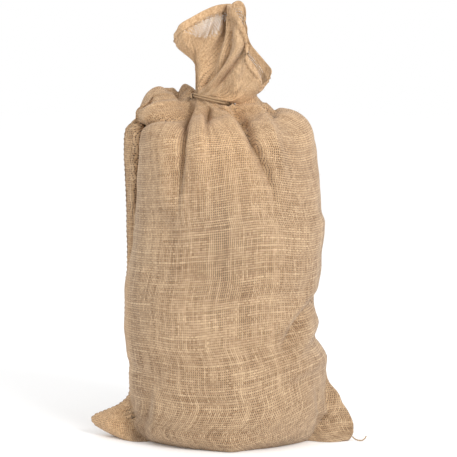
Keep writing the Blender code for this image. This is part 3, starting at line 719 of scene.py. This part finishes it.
def woven_hessian():
    """Hessian: a coarse open plain weave of hairy jute threads of uneven thickness.

    It looks dull and dry, pale on top of each thread, with painted shade down its sides and in the
    gaps, no gloss and only a faint bloom from its hairs."""
    look = bpy.data.materials.new("hessian_plain_weave")
    look.use_nodes = True
    tree = look.node_tree
    tree.nodes.clear()
    math_node, noise, value = "ShaderNodeMath", "ShaderNodeTexNoise", "ShaderNodeTexWhiteNoise"
    uv = add(tree, "ShaderNodeUVMap", {}, uv_map="cloth")
    spot = add(tree, "ShaderNodeTexCoord", {}).node.outputs["Object"]
    slack = add(tree, "ShaderNodeAttribute", {}, attribute_name="slack_weave").node.outputs["Fac"]
    doubled = add(tree, "ShaderNodeAttribute", {}, attribute_name="turned_hem").node.outputs["Fac"]
    through = add(tree, "ShaderNodeAttribute", {}, attribute_name="see_through").node.outputs["Fac"]
    # This share is partly painted light: it paints the cloth paler where the lamps light it too
    # little.
    gathered_with_painted_light = add(tree, "ShaderNodeAttribute", {}, attribute_name="gathered_and_painted_light").node.outputs["Fac"]

    # The threads wander by up to half their spacing, in drifts a few centimetres long.
    count = add(tree, "ShaderNodeVectorMath",
                {0: uv, 1: (1000.0 / WARP_PITCH, 1000.0 / WEFT_PITCH, 0.0)}, operation="MULTIPLY")
    drift = add(tree, noise, {"Vector": uv, "Scale": DRIFTS, "Detail": 3.0}).node.outputs["Color"]
    for operation, by in (("SUBTRACT", (0.5, 0.5, 0.5)), ("MULTIPLY", (1.3, 1.6, 0.0))):
        drift = add(tree, "ShaderNodeVectorMath", {0: drift, 1: by}, operation=operation)
    count = add(tree, "ShaderNodeVectorMath", {0: count, 1: drift}, operation="ADD")
    parts = add(tree, "ShaderNodeSeparateXYZ", {0: count}).node.outputs
    index = [add(tree, math_node, {0: parts[i]}, operation="FLOOR") for i in (0, 1)]

    heights, tones = [], []
    for i, (own_seed, half_width, lift, loss, crimp, run, streak) in enumerate(THREADS):
        across, along = parts[i], parts[1 - i]
        lot = add(tree, math_node, {0: index[i], 1: own_seed}, operation="ADD")
        lot = add(tree, value, {"W": lot}, noise_dimensions="1D").node.outputs
        # Slubs: each thread thickens and thins every few centimetres of its length.
        stretch = add(tree, "ShaderNodeCombineXYZ",
                      {0: add(tree, math_node, {0: index[i], 1: 7.31}, operation="MULTIPLY"),
                       1: add(tree, math_node, {0: along, 1: run}, operation="MULTIPLY"),
                       2: own_seed})
        slub = add(tree, noise, {"Vector": stretch, "Scale": 1.0, "Detail": 2.0})
        wide = add(tree, math_node, {0: lot["Value"], 1: 0.07, 2: half_width - 0.09},
                   operation="MULTIPLY_ADD")
        for amount, gain in ((slub, 0.16), (slack, loss), (doubled, 0.14), (gathered_with_painted_light, 0.04)):
            wide = add(tree, math_node, {0: amount, 1: gain, 2: wide}, operation="MULTIPLY_ADD")
        # A round section: its height over a flat bed, nothing where the gap is.
        part = add(tree, math_node, {0: across}, operation="FRACT")
        for operation, by in (("SUBTRACT", 0.5), ("DIVIDE", wide)):
            part = add(tree, math_node, {0: part, 1: by}, operation=operation)
        part = add(tree, math_node, {0: part, 1: part}, operation="MULTIPLY")
        round_top = add(tree, math_node, {0: 1.0, 1: part}, operation="SUBTRACT")
        inside = add(tree, math_node, {0: round_top, 1: 0.0}, operation="GREATER_THAN")
        round_top = add(tree, math_node, {0: round_top, 1: 0.0}, operation="MAXIMUM")
        round_top = add(tree, math_node, {0: round_top}, operation="SQRT")
        # Plain weave: over one thread and under the next.
        turn = along
        for operation, by in (("ADD", index[i]), ("SUBTRACT", 0.5), ("MULTIPLY", math.pi)):
            turn = add(tree, math_node, {0: turn, 1: by}, operation=operation)
        turn = add(tree, math_node, {0: turn}, operation="COSINE")
        turn = add(tree, math_node, {0: turn, 1: 1.0 - 2.0 * i}, operation="MULTIPLY")
        high = add(tree, math_node, {0: turn, 1: crimp, 2: round_top}, operation="MULTIPLY_ADD")
        high = add(tree, math_node, {0: high, 1: lift}, operation="ADD")
        heights.append(add(tree, math_node, {0: high, 1: inside}, operation="MULTIPLY"))
        tone = add(tree, math_node, {0: lot["Value"], 1: 0.20, 2: 0.10}, operation="MULTIPLY_ADD")
        slub = add(tree, math_node, {0: slub, 1: 0.5}, operation="SUBTRACT")
        tone = add(tree, math_node, {0: slub, 1: streak, 2: tone}, operation="MULTIPLY_ADD")
        tones.append(add(tree, math_node, {0: tone, 1: 0.35}, operation="ADD"))

    warp_on_top = add(tree, math_node, {0: heights[0], 1: heights[1]}, operation="GREATER_THAN")
    high = add(tree, math_node, {0: heights[0], 1: heights[1]}, operation="MAXIMUM")
    tone = add(tree, "ShaderNodeMix", {"Factor": warp_on_top, "A": tones[1], "B": tones[0]})

    knot = add(tree, "ShaderNodeVectorMath", {0: count}, operation="FLOOR")
    knot = add(tree, value, {"Vector": knot}, noise_dimensions="2D")
    calm = add(tree, math_node, {0: through, 1: 0.7}, operation="MULTIPLY")
    calm = add(tree, math_node, {0: gathered_with_painted_light, 1: 0.25, 2: calm}, operation="MULTIPLY_ADD")
    tone = add(tree, "ShaderNodeMix", {"Factor": calm, "A": tone, "B": 0.66})
    tone = add(tree, math_node, {0: knot, 1: 0.22, 2: tone}, operation="MULTIPLY_ADD")
    # Where the cloth is drawn together, the crossings show only as a grain.
    grain = add(tree, noise, {"Vector": spot, "Scale": CROSSINGS, "Detail": 1.0})
    grain = add(tree, math_node, {0: grain, 1: 0.5}, operation="SUBTRACT")
    grain = add(tree, math_node, {0: grain, 1: gathered_with_painted_light}, operation="MULTIPLY")
    tone = add(tree, math_node, {0: grain, 1: 3.2, 2: tone}, operation="MULTIPLY_ADD")
    fibre = add(tree, noise, {"Vector": spot, "Scale": HAIRS, "Detail": 3.0})
    tone = add(tree, math_node, {0: fibre, 1: 0.30, 2: tone}, operation="MULTIPLY_ADD")
    patch = add(tree, noise, {"Vector": spot, "Scale": PATCHES, "Detail": 4.0})
    tone = add(tree, math_node, {0: patch, 1: 0.35, 2: tone}, operation="MULTIPLY_ADD")
    jute = add(tree, "ShaderNodeMapRange", {"Value": tone, "From Min": 0.68, "From Max": 1.38})
    thread = add(tree, "ShaderNodeMix",
                 {"Factor": jute, COLOUR_A: linear("#8A6A49"), COLOUR_B: linear("#CBAE8B")},
                 data_type="RGBA").node.outputs[COLOUR_OUT]
    # Painted light: the parts that the lamps light too little are painted paler and yellower.
    gathered_with_painted_light = add(tree, math_node, {0: gathered_with_painted_light, 1: 0.62}, operation="MULTIPLY")
    thread = add(tree, "ShaderNodeMix",
                 {"Factor": gathered_with_painted_light, COLOUR_A: thread, COLOUR_B: linear("#ECBC87")},
                 data_type="RGBA").node.outputs[COLOUR_OUT]
    # Painted shade: the sides of a thread are painted darker, as though in its neighbours' shade,
    # down to the gap between the threads, which is painted near black as the shaded space behind
    # the cloth.
    depth = add(tree, "ShaderNodeMapRange", {"Value": high, "From Min": 0.55, "From Max": 1.9})
    cloth = add(tree, math_node, {0: high, 1: 0.3}, operation="GREATER_THAN")
    for share, shade in ((depth, "#573D25"), (cloth, "#1D1007")):
        thread = add(tree, "ShaderNodeMix",
                     {"Factor": share, COLOUR_A: linear(shade), COLOUR_B: thread},
                     data_type="RGBA").node.outputs[COLOUR_OUT]
    bump = add(tree, "ShaderNodeBump", {"Height": high, "Strength": 0.7, "Distance": 0.0007})
    shader = add(tree, "ShaderNodeBsdfPrincipled",
                 {"Base Color": thread, "Normal": bump, "Roughness": 0.92, "IOR": 1.53,
                  "Sheen Weight": 0.12, "Sheen Roughness": 0.6})
    hole = add(tree, math_node, {0: 1.0, 1: cloth}, operation="SUBTRACT")
    hole = add(tree, math_node, {0: hole, 1: through}, operation="MULTIPLY")
    clear = add(tree, "ShaderNodeBsdfTransparent", {})
    both = add(tree, "ShaderNodeMixShader", {0: hole, 1: shader, 2: clear})
    add(tree, "ShaderNodeOutputMaterial", {"Surface": both})
    return look


hessian = woven_hessian()
sack = place("sack_cloth", sack_mesh, hessian)
layers = sack.modifiers.new("thickness", "SOLIDIFY")
layers.thickness = CLOTH * MM
layers.offset = -1.0
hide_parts("sack")

# ---------------------------------------------------------------------------------------------
# The stitching. The turned-over hem at the mouth and the side seam are sewn with thin jute
# thread: a running stitch along the hem, and a whipped stitch over the two edges of the side.

STITCH_RADIUS = 0.7
HEM_STITCH = 5.2  # length of a running stitch on the hem
HEM_STITCH_PITCH = 8.4
SEAM_STITCH_PITCH = 9.0  # from one whipped stitch of the side seam to the next
SEAM_LOW, SEAM_HIGH = 12.0, 556.0  # how far the side seam's stitches run up the sack


def tube_mesh(name, routes, sides):
    """One mesh of many round threads: each route is its points and the radius at each."""
    points, faces, start = [], [], 0
    for line, radius in routes:
        line = np.asarray(line, dtype=float)
        ahead = np.gradient(line, axis=0)
        ahead /= np.linalg.norm(ahead, axis=1, keepdims=True)
        side = np.cross(ahead[0], (0.31, 0.52, 0.79))
        turn = np.arange(sides) * 2 * math.pi / sides
        for at, way, size in zip(line, ahead, np.broadcast_to(radius, len(line))):
            side = side - way * np.dot(side, way)
            side /= np.linalg.norm(side)
            over = np.cross(way, side)
            points.append(at + size * (np.cos(turn)[:, None] * side + np.sin(turn)[:, None] * over))
        grid = start + np.arange(len(line) * sides).reshape(-1, sides)
        beside = np.roll(grid, -1, axis=1)
        around = np.stack((grid[:-1], beside[:-1], beside[1:], grid[1:]), axis=-1)
        faces += around.reshape(-1, 4).tolist()
        faces += [grid[0, ::-1].tolist(), grid[-1].tolist()]
        start += len(line) * sides
    mesh = bpy.data.meshes.new(name)
    mesh.from_pydata((np.concatenate(points) * MM).tolist(), [], faces)
    mesh.shade_smooth()
    return mesh


def jute_thread(name, dark, light, streak):
    """Spun jute: hard twisted and unbleached, dull, with fine streaks of light and dark."""
    look = bpy.data.materials.new(name)
    look.use_nodes = True
    tree = look.node_tree
    tree.nodes.clear()
    spot = add(tree, "ShaderNodeTexCoord", {}).node.outputs["Object"]
    fibre = add(tree, "ShaderNodeTexNoise", {"Vector": spot, "Scale": streak, "Detail": 4.0})
    blend = add(tree, "ShaderNodeMix",
                {"Factor": fibre, COLOUR_A: linear(dark), COLOUR_B: linear(light)},
                data_type="RGBA").node.outputs[COLOUR_OUT]
    bump = add(tree, "ShaderNodeBump", {"Height": fibre, "Strength": 0.5, "Distance": 0.0004})
    shader = add(tree, "ShaderNodeBsdfPrincipled",
                 {"Base Color": blend, "Normal": bump, "Roughness": 0.85, "IOR": 1.53,
                  "Sheen Weight": 0.15})
    add(tree, "ShaderNodeOutputMaterial", {"Surface": shader})
    return look


sewing_thread = jute_thread("sewing_jute", "#86664A", "#B99D78", 500.0)
normals = ring_normals(rings)
routes = []
hem_row = int(np.argmin(abs(from_hem[:, 0] - HEM_DEPTH + 2.0)))
line = rings[hem_row] + normals[hem_row] * 0.5
line = np.concatenate((line, line[:1]))
length = length_along(line)
for start in np.arange(2.0, length[-1] - 6.0, HEM_STITCH_PITCH):
    t = np.linspace(0.0, 1.0, 6)
    reach = start + HEM_STITCH * t
    stitch = np.stack([np.interp(reach, length, line[:, k]) for k in range(3)], axis=1)
    out = np.stack([np.interp(reach, length[:-1], normals[hem_row][:, k]) for k in range(3)],
                   axis=1)
    stitch += out * (0.9 * np.sin(math.pi * t) - 0.3)[:, None]
    routes.append((stitch, STITCH_RADIUS * (0.55 + 0.45 * np.sin(math.pi * t))))
tip = rings[:, 0]
seam_rows = [i for i in range(BASE_ROWS, len(wall) + BASE_ROWS) if SEAM_LOW < tip[i, 2] < SEAM_HIGH]
seam_line = tip[seam_rows]
seam_length = length_along(seam_line)
for start in np.arange(4.0, seam_length[-1] - 8.0, SEAM_STITCH_PITCH):
    t = np.linspace(-1.0, 1.0, 7)
    reach = start + 2.5 * t
    at = np.stack([np.interp(reach, seam_length, seam_line[:, k]) for k in range(3)], axis=1)
    at[:, 0] += 1.9 - 2.5 * np.cos(t * 1.45) * 0.9
    at[:, 1] += 2.6 * np.sin(t * 1.45)
    routes.append((at, STITCH_RADIUS * 0.9))
place("stitching", tube_mesh("stitching", routes, 6), sewing_thread)

# ---------------------------------------------------------------------------------------------
# The tie. One length of three-ply jute twine, wound twice around the gathered neck and tucked
# under itself at the left, its short end crossing over.

TWINE_RADIUS = 1.7
TWINE_GAP = 0.5  # clear of the neck
PLY_TURN = 8.0  # length over which a ply goes once around the twine
PLIES = 3

TIE_ROUTE = (
    # degrees around, rise, distance out
    (-8, -1.95, 0.0),
    (20, -1.95, 0.0),
    (290, -1.95, 0.0),
    (345, 1.95, 0.0),
    (380, 1.95, 0.0),
    (632, 1.95, 0.0),
    (668, 1.95, 3.9),
    (700, 1.0, 4.1),
    (722, -1.5, 4.2),
    (740, -5.5, 4.6),
)


def plied(route, radius, step):
    """The plies of a twine, each winding around the twine's own line."""
    count = int(np.linalg.norm(np.diff(route, axis=0), axis=1).sum() / step) + 1
    line = even_points(np.asarray(route, dtype=float), count)
    ahead = np.gradient(line, axis=0)
    ahead /= np.linalg.norm(ahead, axis=1, keepdims=True)
    side = np.cross(ahead, (0.0, 0.0, 1.0))
    side /= np.linalg.norm(side, axis=1, keepdims=True)
    over = np.cross(side, ahead)
    plies = []
    for k in range(PLIES):
        turn = (np.arange(count) * step / PLY_TURN + k / PLIES) * 2 * math.pi
        shift = np.cos(turn)[:, None] * side + np.sin(turn)[:, None] * over
        plies.append((line + shift * radius * 0.46, radius * 0.54))
    return plies


degrees = np.linspace(TIE_ROUTE[0][0], TIE_ROUTE[-1][0], 720)
out = smooth_read(TIE_ROUTE, degrees, 2) + TWINE_RADIUS + TWINE_GAP
tie_line = around_neck(np.radians(degrees), out, smooth_read(TIE_ROUTE, degrees, 1))
twine = jute_thread("plied_jute_twine", "#7F6144", "#C0A27B", 700.0)
tie_mesh = tube_mesh("tie_twine", plied(tie_line, TWINE_RADIUS, 0.9), 8)
tie = place("tie_twine", tie_mesh, twine)
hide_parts("tie")

# ---------------------------------------------------------------------------------------------
# The tail of the seam thread. The thread that closes the bottom seam runs on past the right-hand
# corner, two loose plies of it lying out on the ground and hooking up at the end.

TAIL_ROUTE = ((222.1, -24.4, 7.0), (226.8, -27.2, 3.0), (233.0, -30.5, 1.7), (239.0, -32.5, 2.2),
              (243.5, -32.5, 5.4), (246.0, -31.0, 9.5))
TAIL_RADIUS = 1.2

tail_points = np.array(TAIL_ROUTE)
along = np.linspace(0.0, len(tail_points) - 1.0, 60)
tail_line = np.stack([smooth_read(np.column_stack((np.arange(len(tail_points)), tail_points)),
                                  along, axis + 1) for axis in range(3)], axis=1)
tail_mesh = tube_mesh("seam_thread_tail", plied(tail_line, TAIL_RADIUS, 0.8), 8)
tail = place("seam_thread_tail", tail_mesh, twine)
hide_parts("seam_tail")

# ---------------------------------------------------------------------------------------------
# The loose fibres. Hessian is hairy: short ends of jute stand out of the threads all over it.
# They are left off the groove under the tie, where the cloth is packed tight.

FIBRES = 260
FIBRE_RADIUS = 0.14  # at the root, thinning to the tip
FIBRE_SHORT, FIBRE_LONG = 4.0, 11.0

chance = np.random.default_rng(21)
fibres = []
for row, column in zip(chance.integers(8, rows - 2, FIBRES), chance.integers(0, COLUMNS, FIBRES)):
    if len(body) - 6 < row < len(body) + 8:
        continue
    root, out = rings[row, column], normals[row, column]
    lean_way = chance.normal(size=3)
    reach = chance.uniform(FIBRE_SHORT, FIBRE_LONG)
    t = np.linspace(0.0, 1.0, 6)[:, None]
    line = root + out * (reach * 0.55 * t * (1.5 - t)) + lean_way * (reach * 0.32 * t * t)
    line[:, 2] = np.maximum(line[:, 2], 0.4)
    fibres.append((line, FIBRE_RADIUS * (1.1 - t[:, 0])))
place("loose_fibres", tube_mesh("loose_fibres", fibres, 3), sewing_thread)

# ---------------------------------------------------------------------------------------------
# The set. A plain pale floor, a white surround, a large soft light from the right and front, a
# weaker one from the left, and the camera at the height of the ruffle, looking slightly down.

FLOOR_HALF = 14
FLOOR_DROP = 0.0004  # the floor lies this far under the sack
floor_mesh = bpy.data.meshes.new("floor")
corners_at = ((-1, -1), (1, -1), (1, 1), (-1, 1))
floor_mesh.from_pydata([(x * FLOOR_HALF, y * FLOOR_HALF, 0) for x, y in corners_at], [],
                       [(0, 1, 2, 3)])
floor = bpy.data.objects.new("floor", floor_mesh)
bpy.context.scene.collection.objects.link(floor)
floor.location.z = -FLOOR_DROP
# Matt white paper: bright and even, with no shine.
paper = bpy.data.materials.new("matt_white_paper")
paper.use_nodes = True
paper_shader = paper.node_tree.nodes["Principled BSDF"]
paper_shader.inputs["Base Color"].default_value = linear("#FFFFFF")
paper_shader.inputs["Roughness"].default_value = 1.0
paper_shader.inputs["Specular IOR Level"].default_value = 0.0
floor_mesh.materials.append(paper)

world = bpy.data.worlds.new("white_surround")
bpy.context.scene.world = world
world.use_nodes = True
world.node_tree.nodes["Background"].inputs["Color"].default_value = linear("#FFFFFF")
world.node_tree.nodes["Background"].inputs["Strength"].default_value = 1.0

SACK_MIDDLE = Vector((0.0, 0.0, 0.38))


def soft_light(name, place_at, size, watts):
    """A large round lamp turned to the middle of the sack."""
    lamp = bpy.data.lights.new(name, "AREA")
    lamp.shape = "DISK"
    lamp.size = size
    lamp.energy = watts
    thing = bpy.data.objects.new(name, lamp)
    bpy.context.scene.collection.objects.link(thing)
    thing.location = place_at
    thing.rotation_euler = (SACK_MIDDLE - Vector(place_at)).to_track_quat("-Z", "Y").to_euler()


soft_light("key", (1.6, -2.2, 2.0), 1.3, 60.0)
soft_light("fill", (-2.2, -1.8, 1.2), 1.6, 3.0)

CAMERA_AT = Vector((0.0044, -3.2, 0.70))
CAMERA_AIM = Vector((0.0044, 0.0, 0.372))
FRAME_HALF = 0.40  # half of what the frame takes in, at the sack
camera_data = bpy.data.cameras.new("camera")
camera = bpy.data.objects.new("camera", camera_data)
bpy.context.scene.collection.objects.link(camera)
camera.location = CAMERA_AT
camera.rotation_euler = (CAMERA_AIM - CAMERA_AT).to_track_quat("-Z", "Y").to_euler()
camera_data.angle = 2 * math.atan(FRAME_HALF / (CAMERA_AIM - CAMERA_AT).length)
bpy.context.scene.camera = camera
bpy.context.scene.view_settings.view_transform = "Standard"
